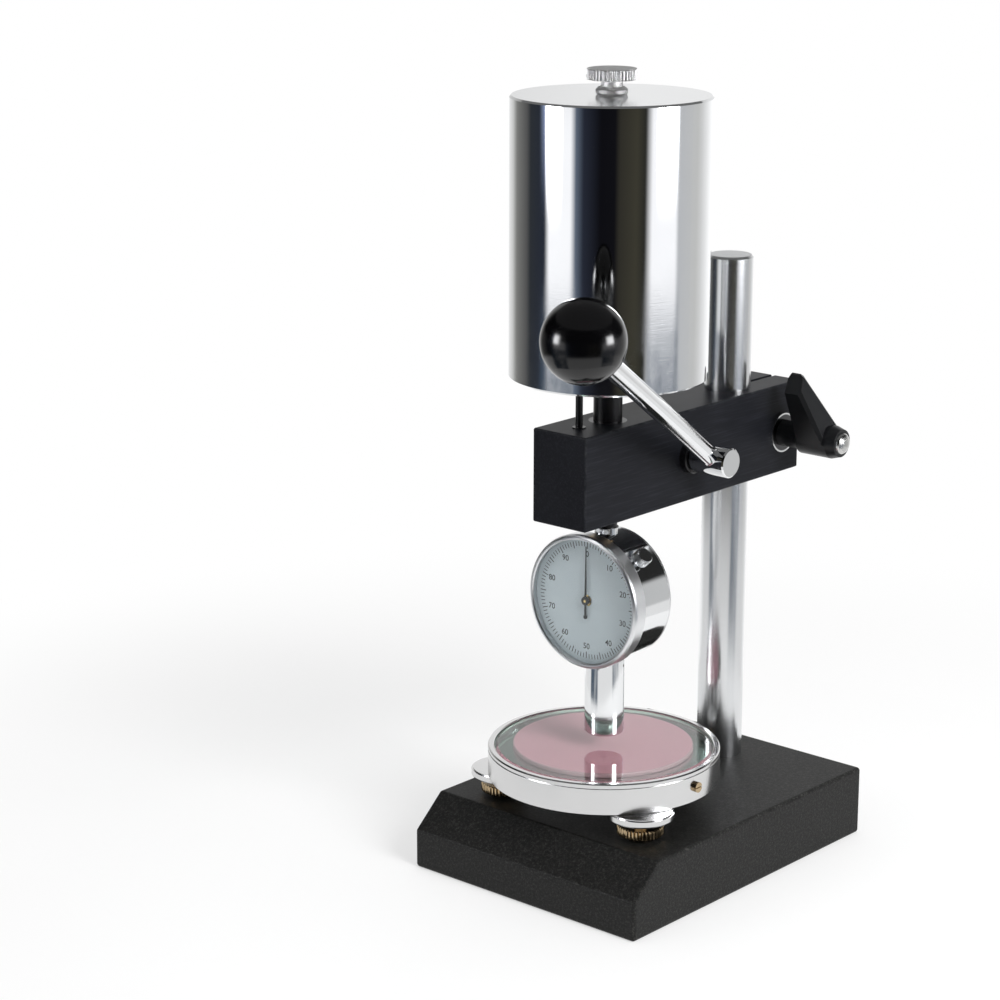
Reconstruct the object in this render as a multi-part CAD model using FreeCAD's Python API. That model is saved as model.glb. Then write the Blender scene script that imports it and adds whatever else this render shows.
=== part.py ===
"""Bench hardness tester: a dead-weight loading stand with a dial gauge under its arm.

Millimetres. +Z is up, -Y is the operator's side, +X is the side of the lift lever.
The origin is the centre of the base's underside.
The tester stands with its weight lifted, as the operator leaves it.
"""
import FreeCAD, Part
import math
import os

V = FreeCAD.Vector
X_AXIS = V(1, 0, 0)
Y_AXIS = V(0, 1, 0)
Z_AXIS = V(0, 0, 1)

# Clearances
run_fit = 0.05
loose_fit = 0.15
side_gap = 0.3

# Granite base
base_w = 120.0
base_l = 160.0
base_h = 30.5
chamfer_len = 15.5
chamfer_drop = 13.5
base_round = 1.6
recess_d = 32.0
recess_h = 10.0

# Column and its fixing under the base
col_d = 20.0
col_y = 55.5
col_rise = 225.4
col_chamfer = 1.0
col_seat = 13.0
stud_d = 10.0
washer_d = 24.0
washer_t = 2.0
nut_af = 17.0
nut_h = 6.0

# Arm, hung so that the indenter clears the glass by specimen_room
specimen_room = 3.4
arm_w = 28.0
arm_h = 39.5
arm_nose = 31.0
arm_tail = 34.3
arm_round = 0.8
slit_w = 2.4

# Load rod, guide pin and their bushes
rod_y = -26.5
rod_d = 12.0
neck_d = 8.0
stub_d = 9.0
stub_drop = 5.9
upper_bush_d = 16.0
lower_bush_d = 13.0
pin_d = 3.0
pin_ahead = 18.5
pin_bush_d = 5.6
pin_bush_len = 12.0
pin_grip = 10.0
pin_below = 27.0
lift_stroke = 3.5
lower_collar_h = 3.3

# Slot under the arm that holds the rocker
slot_w = 16.0
slot_above = 10.35
slot_front = 7.2
slot_back = 10.5
cover_t = 6.0
cover_ledge = 6.5
cover_screw_d = 3.0
cover_screw_grip = 5.0
cover_head_d = 5.4
cover_head_sink = 2.5
cover_head_low = 0.3
cover_socket_af = 2.5
cover_socket_h = 1.8

# Dead weight and its nut
weight_d = 82.0
weight_h = 114.9
weight_gap = 18.6
weight_edge = 0.8
weight_stud_d = 8.0
nut_bead_d = 13.0
nut_bead_h = 3.2
nut_neck_d = 8.6
nut_neck_h = 2.9
nut_disc_d = 20.4
nut_disc_h = 4.4
nut_ribs = 44
rib_depth = 0.45

# Lift lever
rocker_len = 38.0
rocker_hub_d = 15.0
rocker_root_share = 0.84
fork_tip_d = 7.0
fork_tine = 2.6
fork_neck_h = 5.4
fork_neck_back = 9.0
fork_relief = 1.0
rocker_pin_d = 2.5
rocker_pin_sink = 0.2
shaft_d = 8.0
shaft_bush_d = 13.0
shaft_collar_t = 3.4
hub_d = 12.6
hub_len = 17.8
hub_gap = 0.3
lever_d = 8.4
lever_len = 144.9
lever_rise = 31.05
lever_splay = 11.55
lever_out = 9.3
ball_d = 33.0
ball_flat = 13.0
clip_t = 1.2
clip_d = 12.0
clip_mouth = 4.0
shaft_tail = 1.4
shaft_grip = 4.45
left_flange_t = 1.0
flange_step = 0.9
flange_chamfer = 0.5

# Column clamp
clamp_back = 21.7
clamp_drop = 1.85
clamp_washer_d = 17.4
clamp_washer_t = 1.2
clamp_screw_d = 6.0
clamp_boss_d = 11.6
clamp_boss_len = 10.0
clamp_hub_d = 14.5
clamp_hub_len = 20.5
clamp_arm_len = 30.6
clamp_arm_rise = 68.0
clamp_arm_in = 3.2
clamp_root_x = 2.0
clamp_root_t = 15.2
clamp_tip_w = 8.0
clamp_tip_t = 7.2
clamp_tip_nose = 1.3
clamp_tip_flat = 1.8
clamp_tip_slope = 62.0
clamp_bevel = 1.4
clamp_blind = 11.0
clamp_cap_d = 9.4
clamp_cap_t = 2.6
clamp_cap_edge = 0.7

# Dial gauge case, bezel and dial
bezel_gap = 0.8
bezel_d = 57.5
bezel_front = 16.0
bezel_lip = 1.0
bezel_lip_w = 2.25
bezel_depth = 7.3
case_wall_gap = 1.45
case_wall = 2.5
crystal_t = 1.4
pointer_gap = 1.9
dial_t = 0.6
dial_hole = 5.0
case_behind_dial = 0.2
case_back = 8.4
cover_dome = 0.7
back_cover_t = 2.0
plate_step = 0.8
plate_t = 1.4
bridge_back = 3.9
bridge_t = 1.3
bridge_d = 34.0
pillar_d = 3.2
pillar_circle = 13.0
pillar_angles = (30, 150, 330)
boss_d = 5.0
boss_depth = 6.0
boss_circle = 22.6
back_screw_d = 2.0
back_head_d = 3.8
back_head_t = 0.9
stem_d = 10.2
stem_stud_d = 5.0
stem_stud_len = 8.0
stem_pad = 0.6

# Barrel, spindle and spring
barrel_d = 16.8
barrel_len = 31.8
collar_show = 3.9
pad_drop = 1.0
barrel_bore = 12.0
spanner_holes = 4
spanner_start = 20.0
spanner_hole_d = 1.3
spanner_depth = 1.2
foot_t = 3.0
foot_hole_d = 3.0
foot_round = 0.8
nose_below = 5.0
spindle_d = 4.0
spindle_top = 6.0
spindle_flange_d = 10.6
spindle_flange_t = 1.5
spindle_flange_up = 5.2
indenter_d = 1.25
indenter_out = 2.5
indenter_cone = 30.0
indenter_grip = 3.0
spring_wire = 0.9
spring_turns = 5
spring_steps = 14
spring_end_gap = 0.15

# Gear train: one turn of the pointer for the whole travel of the indenter
wheel_teeth = 60
pinion_teeth = 12
rack_pinion_teeth = 16
gear_module = 0.3
gear_t = 0.8
pinion_t = 1.4
rack_pinion_t = 2.4
arbor_d = 1.2
arbor_side = 3.6
tooth_share = 0.76
rack_teeth = 9
cock_gap = 0.6
cock_t = 0.7
cock_span = 6.5
cock_up = 3.0
cock_down = 1.4
cock_w = 4.0
post_d = 2.4

# Pointer
pointer_len = 23.4
pointer_tail = 7.0
pointer_root_w = 0.9
pointer_tip_w = 0.25
pointer_t = 0.4
pointer_hub_d = 3.6
tail_bob_d = 1.8

# Bezel lock knob
knob_angle = 43.0
knob_d = 7.4
knob_len = 4.6
knob_shank_d = 3.0
knob_reach = 3.2
knob_ribs = 26

# Specimen table
ring_d = 98.5
ring_under = 12.0
ring_h = 13.7
ring_wall = 2.6
ring_floor = 6.3
lip_h = 1.5
groove_h = 0.8
groove_depth = 0.4
glass_below_rim = 0.2
glass_t = 5.2
glass_bevel = 1.4
pad_margin = 8.1
pad_shift = 6.8
pad_shift_angle = 132.0
lug_d = 28.0
lug_t = 3.5
lug_groove_h = 0.6
lug_groove_depth = 0.8
lug_round = 0.8
lug_inset = 6.0
lug_count = 3
lug_start = -30.0
set_screw_count = 2
set_screw_d = 4.4
set_screw_out = 1.6
set_screw_z = 6.6
set_screw_slot_w = 0.5
set_screw_slot_depth = 0.7
level_disc_d = 19.4
level_disc_t = 4.0
level_foot_d = 10.0
level_foot_t = 1.5
level_shank_d = 6.0
level_shank_len = 8.0
level_room = 1.6
level_ribs = 40

# Table places
base_top = base_h
ring_z0 = base_top + ring_under
ring_z1 = ring_z0 + ring_h
glass_z1 = ring_z1 - glass_below_rim
glass_z0 = glass_z1 - glass_t
floor_z = ring_z0 + ring_floor
glass_r = ring_d / 2 - ring_wall - loose_fit
pad_d = ring_d - 2 * (ring_wall + pad_margin)
lug_z = ring_z0 - lug_t
lug_circle = ring_d / 2 - lug_inset
level_disc_z = base_top + level_foot_t
level_top = level_disc_z + level_disc_t

# Heights, from the glass up through the gauge to the weight
indenter_z = glass_z1 + specimen_room
foot_z = indenter_z + indenter_out
dial_z = foot_z + barrel_len + bezel_d / 2
stub_z = dial_z + bezel_d / 2 + bezel_gap
arm_z0 = stub_z + stub_drop
arm_z1 = arm_z0 + arm_h
arm_mid = arm_z0 + arm_h / 2
slot_top = arm_mid + slot_above
cover_top = arm_z0 + cover_t
weight_z0 = arm_z1 + weight_gap
weight_z1 = weight_z0 + weight_h
nut_top = weight_z1 + nut_bead_h + nut_neck_h + nut_disc_h
col_top = base_top + col_rise

# Places along the arm
arm_side = arm_w / 2
arm_y0 = rod_y - arm_nose
arm_y1 = col_y + arm_tail
shaft_y = rod_y + rocker_len
slot_y0 = rod_y - slot_front
slot_y1 = shaft_y + slot_back
pin_y = rod_y - pin_ahead
pin_foot = arm_z1 - pin_below
clamp_y = col_y + clamp_back
clamp_z = arm_mid - clamp_drop
groove_half = fork_tip_d / 2 + side_gap
clip_bore_d = shaft_d - 1.6
hub_x0 = arm_side + shaft_collar_t + hub_gap
hub_x1 = hub_x0 + hub_len
lever_x = arm_side + shaft_collar_t + lever_out
clamp_x0 = arm_side + clamp_washer_t
clamp_x1 = clamp_x0 + clamp_boss_len
clamp_x2 = clamp_x1 + clamp_hub_len

# Gauge places, faces counted along Y
bezel_y0 = rod_y - bezel_front
bezel_y1 = bezel_y0 + bezel_depth
crystal_y0 = bezel_y0 + bezel_lip
crystal_y1 = crystal_y0 + crystal_t
dial_y0 = crystal_y1 + pointer_gap
dial_y1 = dial_y0 + dial_t
case_y0 = dial_y1 + case_behind_dial
case_y1 = rod_y + case_back
case_r = bezel_d / 2 - case_wall_gap
case_bore_r = case_r - case_wall
plate_y0 = case_y0
plate_y1 = plate_y0 + plate_t
bridge_y0 = rod_y + bridge_back
bridge_y1 = bridge_y0 + bridge_t
pad_z = dial_z - case_r - pad_drop
collar_z = dial_z - bezel_d / 2 - collar_show
nose_z = collar_z - nose_below
stem_z = dial_z + case_r + stem_pad
spindle_z0 = foot_z + spindle_flange_up
spindle_z1 = dial_z + spindle_top
flange_top = spindle_z0 + spindle_flange_t

# Gear train places
wheel_r = gear_module * wheel_teeth / 2
pinion_r = gear_module * pinion_teeth / 2
train_ratio = wheel_teeth / pinion_teeth
rack_pinion_r = indenter_out * train_ratio / (2 * math.pi)
rack_pitch = 2 * math.pi * rack_pinion_r / rack_pinion_teeth
rack_module = rack_pitch / math.pi
wheel_distance = wheel_r + pinion_r
arbor_x = -arbor_side
arbor_z = dial_z - math.sqrt(wheel_distance ** 2 - arbor_side ** 2)
rack_line = arbor_side - rack_pinion_r
cock_y1 = rod_y - spindle_d / 2 - cock_gap
cock_y0 = cock_y1 - cock_t
wheel_y0 = cock_y0 - gear_t - 0.7


def box(x0, x1, y0, y1, z0, z1):
    return Part.makeBox(x1 - x0, y1 - y0, z1 - z0, V(x0, y0, z0))


def rod_z(d, z0, z1, x=0.0, y=0.0):
    return Part.makeCylinder(d / 2, z1 - z0, V(x, y, z0), Z_AXIS)


def rod_x(d, x0, x1, y, z):
    return Part.makeCylinder(d / 2, x1 - x0, V(x0, y, z), X_AXIS)


def rod_along_y(d, y0, y1, x, z):
    return Part.makeCylinder(d / 2, y1 - y0, V(x, y0, z), Y_AXIS)


def rod_between(d, start, end):
    run = end - start
    return Part.makeCylinder(d / 2, run.Length, start, run)


def upright(solid):
    if solid.Volume < 0:
        solid.reverse()
    return solid


def turned(profile, place, axis):
    """Solid of revolution from (radius, distance along the axis) points."""
    side = X_AXIS if abs(axis.z) > 0.9 else Z_AXIS.cross(axis).normalize()
    points = [place + side * r + axis * s for r, s in profile]
    face = Part.Face(Part.makePolygon(points + points[:1]))
    return upright(face.revolve(place, axis, 360))


def prism(points, run):
    return upright(Part.Face(Part.makePolygon(points + points[:1])).extrude(run))


def cross_section(polar, place, axis):
    """Points given as (radius, angle) in the plane square to the axis."""
    if abs(axis.z) > 0.9:
        right, up = X_AXIS, Y_AXIS
    elif abs(axis.y) > 0.9:
        right, up = X_AXIS, Z_AXIS
    else:
        up = Z_AXIS
        up = (up - axis * up.dot(axis)).normalize()
        right = up.cross(axis)
    return [place + right * (r * math.cos(a)) + up * (r * math.sin(a)) for r, a in polar]


def ribbed(d, depth, count, length, place, axis):
    """Knurled disc: straight ribs all round the rim."""
    polar = []
    for i in range(count):
        start = 2 * math.pi * i / count
        for share, r in ((0.0, d / 2), (0.35, d / 2), (0.65, d / 2 - depth)):
            polar.append((r, start + share * 2 * math.pi / count))
    disc = prism(cross_section(polar, place, axis), axis * length)
    edge = depth * 0.9
    r = d / 2
    shape = [(0, 0), (r - edge, 0), (r, edge), (r, length - edge), (r - edge, length), (0, length)]
    return disc.common(turned(shape, place, axis))


def toothed(module, teeth, length, place, axis, first_tooth):
    """Gear with straight-sided teeth thinned for backlash; one tooth stands at first_tooth."""
    pitch_r = module * teeth / 2
    half = math.pi / (2 * teeth) * tooth_share
    polar = []
    for i in range(teeth):
        mid = first_tooth + 2 * math.pi * i / teeth
        for r, share in ((pitch_r - module, 1.3), (pitch_r, 1.0), (pitch_r + 0.8 * module, 0.5)):
            polar.append((r, mid - half * share))
        for r, share in ((pitch_r + 0.8 * module, 0.5), (pitch_r, 1.0), (pitch_r - module, 1.3)):
            polar.append((r, mid + half * share))
    return prism(cross_section(polar, place, axis), axis * length)


def hex_prism(across_flats, z0, z1, x, y):
    corner = across_flats / math.sqrt(3)
    polar = [(corner, math.radians(60 * i)) for i in range(6)]
    return prism(cross_section(polar, V(x, y, z0), Z_AXIS), V(0, 0, z1 - z0))


def at_angle(radius, degrees, z):
    a = math.radians(degrees)
    return V(radius * math.cos(a), rod_y + radius * math.sin(a), z)


def save(name, shape):
    shape = shape.removeSplitter()
    shape.exportStep(os.path.join("parts", name + ".step"))
    print(name, len(shape.Solids), round(shape.Volume, 2), shape.isValid())


# Base and column

def base_block():
    front, back = -base_l / 2, base_l / 2
    side = base_w / 2
    outline = [(front, 0), (back, 0), (back, base_h), (front + chamfer_len, base_h),
               (front, base_h - chamfer_drop)]
    block = prism([V(-side, y, z) for y, z in outline], V(base_w, 0, 0))
    block = block.makeFillet(base_round, block.Edges)
    block = block.cut(rod_z(col_d + 2 * run_fit, col_seat, base_h + 1, 0, col_y))
    block = block.cut(rod_z(stud_d + 2 * loose_fit, -1, base_h, 0, col_y))
    return block.cut(rod_z(recess_d, -1, recess_h, 0, col_y))


def column():
    stud_end = recess_h - washer_t - nut_h - 1.0
    profile = [(0, stud_end), (stud_d / 2, stud_end), (stud_d / 2, col_seat), (col_d / 2, col_seat),
               (col_d / 2, col_top - col_chamfer), (col_d / 2 - col_chamfer, col_top), (0, col_top)]
    return turned(profile, V(0, col_y, 0), Z_AXIS)


def column_washer():
    ring = rod_z(washer_d, recess_h - washer_t, recess_h, 0, col_y)
    return ring.cut(rod_z(stud_d + 2 * run_fit, 0, recess_h + 1, 0, col_y))


def column_nut():
    top = recess_h - washer_t
    blank = hex_prism(nut_af, top - nut_h, top, 0, col_y)
    crown = turned([(0, top - nut_h), (nut_af / 2, top - nut_h), (nut_af * 0.6, top - nut_h + 1.2),
                    (nut_af * 0.6, top), (0, top)], V(0, col_y, 0), Z_AXIS)
    return blank.common(crown).cut(rod_z(stud_d, 0, recess_h, 0, col_y))


# Arm and its bushes

def slot_space(z0, z1, ledge, gap):
    half = slot_w / 2 - gap
    block = box(-half, half, slot_y0 - ledge + gap, slot_y1 + ledge - gap, z0, z1)
    corners = [e for e in block.Edges if abs(e.tangentAt(e.FirstParameter).z) > 0.9]
    return block.makeFillet(slot_w / 4, corners)


def arm_block():
    block = box(-arm_side, arm_side, arm_y0, arm_y1, arm_z0, arm_z1)
    block = block.makeFillet(arm_round, block.Edges)
    below, above = arm_z0 - 1, arm_z1 + 1
    block = block.cut(rod_z(col_d + 2 * run_fit, below, above, 0, col_y))
    block = block.cut(box(-slit_w / 2, slit_w / 2, col_y, arm_y1 + 1, below, above))
    block = block.cut(slot_space(below, slot_top, 0.0, 0.0))
    block = block.cut(slot_space(below, cover_top, cover_ledge, 0.0))
    block = block.cut(rod_z(upper_bush_d, slot_top - 1, above, 0, rod_y))
    block = block.cut(rod_z(pin_bush_d, arm_z1 - pin_bush_len, above, 0, pin_y))
    block = block.cut(rod_z(pin_d + 1.0, pin_foot - lift_stroke - 1.5, above, 0, pin_y))
    block = block.cut(rod_x(shaft_bush_d, -arm_side - 1, arm_side + 1, shaft_y, arm_mid))
    block = block.cut(rod_x(clamp_screw_d + 2 * loose_fit, -arm_side + 3, arm_side + 1, clamp_y, clamp_z))
    for y in cover_screw_places():
        block = block.cut(rod_z(cover_screw_d, arm_z0, cover_top + cover_screw_grip + 1, 0, y))
    return block


def cover_screw_places():
    return (slot_y0 - cover_ledge / 2, slot_y1 + cover_ledge / 2)


def slot_cover():
    plate = slot_space(arm_z0, cover_top, cover_ledge, run_fit)
    plate = plate.cut(rod_z(lower_bush_d, arm_z0 - 1, cover_top + 1, 0, rod_y))
    for y in cover_screw_places():
        plate = plate.cut(rod_z(cover_screw_d, arm_z0 - 1, cover_top + 1, 0, y))
        plate = plate.cut(rod_z(cover_head_d + 2 * run_fit, arm_z0 - 1, arm_z0 + cover_head_sink, 0, y))
    return plate


def cover_screws():
    screws = []
    for y in cover_screw_places():
        head = rod_z(cover_head_d, arm_z0 + cover_head_low, arm_z0 + cover_head_sink, 0, y)
        shank = rod_z(cover_screw_d, arm_z0 + cover_head_sink, cover_top + cover_screw_grip, 0, y)
        socket = hex_prism(cover_socket_af, arm_z0, arm_z0 + cover_socket_h, 0, y)
        screws.append(head.fuse(shank).cut(socket))
    return Part.makeCompound(screws)


def bush(outer_d, bore_d, z0, z1, y):
    return rod_z(outer_d, z0, z1, 0, y).cut(rod_z(bore_d, z0 - 1, z1 + 1, 0, y))


def upper_bush():
    return bush(upper_bush_d, rod_d + 2 * run_fit, slot_top, arm_z1, rod_y)


def lower_bush():
    return bush(lower_bush_d, stub_d + 2 * run_fit, arm_z0, cover_top, rod_y)


def pin_bush():
    return bush(pin_bush_d, pin_d + 2 * run_fit, arm_z1 - pin_bush_len, arm_z1 + 0.4, pin_y)


def shaft_bush(side):
    bore, body = shaft_d / 2 + run_fit, shaft_bush_d / 2
    rim = body + flange_step
    inner = slot_w / 2 + side_gap
    flange = arm_side + (shaft_collar_t if side > 0 else left_flange_t)
    profile = [(bore, inner), (body, inner), (body, arm_side), (rim, arm_side),
               (rim, flange - flange_chamfer), (rim - flange_chamfer, flange), (bore, flange)]
    return turned([(r, side * s) for r, s in profile], V(0, shaft_y, arm_mid), X_AXIS)


def clamp_washer():
    ring = rod_x(clamp_washer_d, arm_side, clamp_x0, clamp_y, clamp_z)
    return ring.cut(rod_x(clamp_screw_d + 2 * loose_fit, arm_side - 1, clamp_x0 + 1, clamp_y, clamp_z))


# Column clamp

def clamp_screw():
    return rod_x(clamp_screw_d, -arm_side + 3, clamp_x2 - clamp_blind, clamp_y, clamp_z)


def clamp_handle():
    axis_point = V(0, clamp_y, clamp_z)
    r0, r1 = clamp_boss_d / 2, clamp_hub_d / 2
    hub = turned([(0, clamp_x0), (r0, clamp_x0), (r0, clamp_x1), (r1, clamp_x1 + 1.2),
                  (r1, clamp_x2 - 4.0), (r1 - 1.2, clamp_x2), (0, clamp_x2)], axis_point, X_AXIS)
    angle = math.radians(clamp_arm_rise)
    along = V(0, -math.cos(angle), math.sin(angle))
    across = V(0, math.sin(angle), math.cos(angle))
    root = axis_point + V(clamp_x1 + clamp_root_x, 0, 0)
    end = root + along * clamp_arm_len - V(clamp_arm_in, 0, 0)
    shoulder = end - along * clamp_tip_nose
    tip_half = clamp_tip_w / 2
    nose = clamp_bevel / 2
    sections = [clamp_section(root, across, r1, clamp_root_t),
                clamp_section(shoulder, across, tip_half, clamp_tip_t),
                clamp_section(end + V(nose, 0, 0), across, tip_half - nose, clamp_tip_t - 2 * nose)]
    arm = upright(Part.makeLoft(sections, True, True)).cut(clamp_tip_waste(end, across))
    shape = hub.fuse(arm)
    shape = shape.cut(rod_x(clamp_screw_d, clamp_x0 - 1, clamp_x2 - clamp_blind, clamp_y, clamp_z))
    return shape.cut(rod_x(clamp_cap_d, clamp_x2 - clamp_cap_edge, clamp_x2 + 1, clamp_y, clamp_z))


def clamp_tip_waste(end, across):
    """What is cut off the tip's lower corner, past a short flat at its top."""
    slope = math.radians(clamp_tip_slope)
    down = V(0, -math.cos(slope), -math.sin(slope))
    away = V(0, -math.sin(slope), math.cos(slope))
    corner = end + across * (clamp_tip_w / 2 - clamp_tip_flat)
    start = V(clamp_x0, corner.y, corner.z)
    reach = 2 * clamp_tip_w
    outline = [start, start + down * reach, start + (down + away) * reach, start + away * reach]
    return prism(outline, X_AXIS * (clamp_x2 - clamp_x0))


def clamp_section(centre, across, half, thick):
    """Outline across the clamp's arm: flat behind, bevelled along both outer edges."""
    rim = half - clamp_bevel
    places = [(-half, 0), (-half, thick - clamp_bevel), (-rim, thick), (rim, thick),
              (half, thick - clamp_bevel), (half, 0)]
    corners = [centre + across * side + V(out, 0, 0) for side, out in places]
    return Part.makePolygon(corners + corners[:1])


def clamp_cap():
    """Domed screw head let into the end of the clamp's hub."""
    r = clamp_cap_d / 2
    x0, rise = clamp_x2 - clamp_cap_edge, clamp_cap_t
    dome = [(r * math.cos(math.radians(a)), clamp_x2 + rise * math.sin(math.radians(a)))
            for a in range(0, 90, 15)]
    return turned([(0, x0), (r, x0)] + dome + [(0, clamp_x2 + rise)], V(0, clamp_y, clamp_z), X_AXIS)


# Load rod, weight and nut

def load_rod():
    socket_z = stub_z + stem_stud_len + 1.0
    groove_z0, groove_z1 = arm_mid - groove_half, arm_mid + groove_half
    stud_top = nut_top - nut_disc_h
    profile = [(0, socket_z), (stem_stud_d / 2 + run_fit, socket_z), (stem_stud_d / 2 + run_fit, stub_z),
               (stub_d / 2, stub_z), (stub_d / 2, groove_z0 - lower_collar_h),
               (rod_d / 2, groove_z0 - lower_collar_h), (rod_d / 2, groove_z0), (neck_d / 2, groove_z0),
               (neck_d / 2, groove_z1), (rod_d / 2, groove_z1), (rod_d / 2, weight_z0),
               (weight_stud_d / 2, weight_z0), (weight_stud_d / 2, stud_top - 0.5),
               (weight_stud_d / 2 - 0.5, stud_top), (0, stud_top)]
    return turned(profile, V(0, rod_y, 0), Z_AXIS)


def weight():
    r, e = weight_d / 2, weight_edge
    bore = weight_stud_d / 2 + loose_fit
    profile = [(bore, weight_z0), (r - e, weight_z0), (r, weight_z0 + e), (r, weight_z1 - e),
               (r - e, weight_z1), (bore, weight_z1)]
    body = turned(profile, V(0, rod_y, 0), Z_AXIS)
    return body.cut(rod_z(pin_d, weight_z0 - 1, weight_z0 + pin_grip, 0, pin_y))


def guide_pin():
    r, top = pin_d / 2, weight_z0 + pin_grip
    profile = [(0, pin_foot), (r - 0.6, pin_foot), (r, pin_foot + 0.8), (r, top), (0, top)]
    return turned(profile, V(0, pin_y, 0), Z_AXIS)


def weight_nut():
    z = weight_z1
    disc_z = z + nut_bead_h + nut_neck_h
    bead = nut_bead_d / 2
    body = turned([(0, z), (bead - 0.6, z), (bead, z + 0.8), (bead, z + nut_bead_h - 1.0),
                   (bead - 1.0, z + nut_bead_h), (nut_neck_d / 2, z + nut_bead_h), (nut_neck_d / 2, disc_z),
                   (0, disc_z)], V(0, rod_y, 0), Z_AXIS)
    disc = ribbed(nut_disc_d, rib_depth, nut_ribs, nut_disc_h, V(0, rod_y, disc_z), Z_AXIS)
    return body.fuse(disc).cut(rod_z(weight_stud_d + 2 * run_fit, z - 1, disc_z, 0, rod_y))


# Lift lever

def lever_line():
    splay, rise = math.radians(lever_splay), math.radians(lever_rise)
    along = V(math.sin(splay), -math.cos(splay) * math.cos(rise), math.cos(splay) * math.sin(rise))
    start = V(lever_x, shaft_y, arm_mid)
    return start, start + along * lever_len, along


def lever_shaft():
    clip_x0 = -arm_side - left_flange_t - clip_t
    body = rod_x(shaft_d, clip_x0 - shaft_tail, hub_x0 + shaft_grip, shaft_y, arm_mid)
    groove = rod_x(shaft_d + 1, clip_x0 - run_fit, clip_x0 + clip_t, shaft_y, arm_mid)
    groove = groove.cut(rod_x(clip_bore_d, clip_x0 - 1, clip_x0 + clip_t + 1, shaft_y, arm_mid))
    return body.cut(groove).cut(rocker_pin_hole())


def shaft_clip():
    x0 = -arm_side - left_flange_t - clip_t
    x1 = x0 + clip_t - run_fit
    half = clip_mouth / 2
    ring = rod_x(clip_d, x0, x1, shaft_y, arm_mid)
    ring = ring.cut(rod_x(clip_bore_d, x0 - 1, x1 + 1, shaft_y, arm_mid))
    return ring.cut(box(x0 - 1, x1 + 1, shaft_y - half, shaft_y + half, arm_mid - clip_d, arm_mid))


def lever_hub():
    r, e = hub_d / 2, 0.6
    profile = [(0, hub_x0), (r - e, hub_x0), (r, hub_x0 + e), (r, hub_x1 - e), (r - e, hub_x1), (0, hub_x1)]
    body = turned(profile, V(0, shaft_y, arm_mid), X_AXIS)
    start, end, along = lever_line()
    body = body.cut(rod_between(lever_d, start, start + along * hub_d * 2))
    return body.cut(rod_x(shaft_d, hub_x0 - 1, hub_x0 + shaft_grip, shaft_y, arm_mid))


def lever_rod():
    start, end, along = lever_line()
    return rod_between(lever_d, start, end - along * (ball_d / 2 - ball_flat))


def ball_knob():
    start, end, along = lever_line()
    ball = Part.makeSphere(ball_d / 2, end)
    flat = end - along * (ball_d / 2)
    ball = ball.cut(rod_between(ball_flat, flat - along, flat + along * 1.4))
    collar = rod_between(ball_flat, end - along * (ball_d / 2 + 0.6), end - along * (ball_d / 2 - 2.0))
    ball = ball.fuse(collar)
    return ball.cut(rod_between(lever_d, start, end - along * (ball_d / 2 - ball_flat)))


def rocker():
    """Hub on the shaft with a forked arm. The fork narrows behind its round tips to clear the rod."""
    gap = neck_d / 2 + side_gap
    half = gap + fork_tine
    root = rocker_hub_d / 2 * rocker_root_share
    neck_y, neck = rod_y + fork_neck_back, fork_neck_h / 2
    sides = [(shaft_y, -root), (neck_y, -neck), (rod_y, -neck),
             (rod_y, neck), (neck_y, neck), (shaft_y, root)]
    beam = prism([V(-half, y, arm_mid + z) for y, z in sides], V(2 * half, 0, 0))
    hub_half = slot_w / 2 - 2 * side_gap
    hub = rod_x(rocker_hub_d, -hub_half, hub_half, shaft_y, arm_mid)
    tips = rod_x(fork_tip_d, -half, half, rod_y, arm_mid)
    low, high = arm_mid - rocker_hub_d, arm_mid + rocker_hub_d
    mouth = box(-gap, gap, rod_y - fork_tip_d, rod_y + rod_d / 2 + fork_relief, low, high)
    shape = hub.fuse(beam).fuse(tips).cut(mouth)
    return shape.cut(rod_x(shaft_d, -slot_w, slot_w, shaft_y, arm_mid)).cut(rocker_pin_hole())


def rocker_pin_hole():
    return rod_z(rocker_pin_d, arm_mid - rocker_hub_d, arm_mid + rocker_hub_d, 0, shaft_y)


def rocker_pin():
    half = rocker_hub_d / 2 - rocker_pin_sink
    return rod_z(rocker_pin_d, arm_mid - half, arm_mid + half, 0, shaft_y)


# Dial gauge: case

def dial_turned(profile):
    return turned(profile, V(0, 0, dial_z), Y_AXIS)


def gauge_stem():
    body = rod_z(stem_d, stem_z, stub_z, 0, rod_y)
    stud = rod_z(stem_stud_d, stem_z - 3.0, stub_z + stem_stud_len, 0, rod_y)
    return body.fuse(stud)


def gauge_case():
    step_r = case_bore_r + plate_step
    shell = dial_turned([(step_r, case_y0), (case_r, case_y0), (case_r, case_y1), (case_bore_r, case_y1),
                         (case_bore_r, plate_y1), (step_r, plate_y1)])
    core = rod_along_y(2 * case_bore_r, case_y0 - 1, case_y1 + 1, 0, dial_z)
    pad = rod_z(barrel_d, pad_z, dial_z - case_bore_r + 2, 0, rod_y)
    nose = rod_z(barrel_bore, nose_z, dial_z - case_bore_r + 2, 0, rod_y)
    neck = rod_z(stem_d, dial_z + case_bore_r - 2, stem_z, 0, rod_y)
    bosses = pad.fuse(nose).fuse(neck).cut(core)
    shell = shell.fuse(bosses)
    for x, z in boss_places():
        lump = rod_along_y(boss_d, case_y1 - boss_depth, case_y1, x, z)
        shell = shell.fuse(lump)
    for x, z in boss_places():
        shell = shell.cut(rod_along_y(back_screw_d, case_y1 - boss_depth + 1, case_y1 + 1, x, z))
    shell = shell.cut(rod_z(spindle_d + 2 * run_fit, nose_z - 1, dial_z, 0, rod_y))
    shell = shell.cut(rod_z(stem_stud_d, stem_z - 3.0, stem_z + 1, 0, rod_y))
    reach = knob_point(case_r + knob_reach)
    shell = shell.cut(rod_between(knob_shank_d + 2 * run_fit, knob_point(case_bore_r - 3), reach))
    return shell


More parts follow.
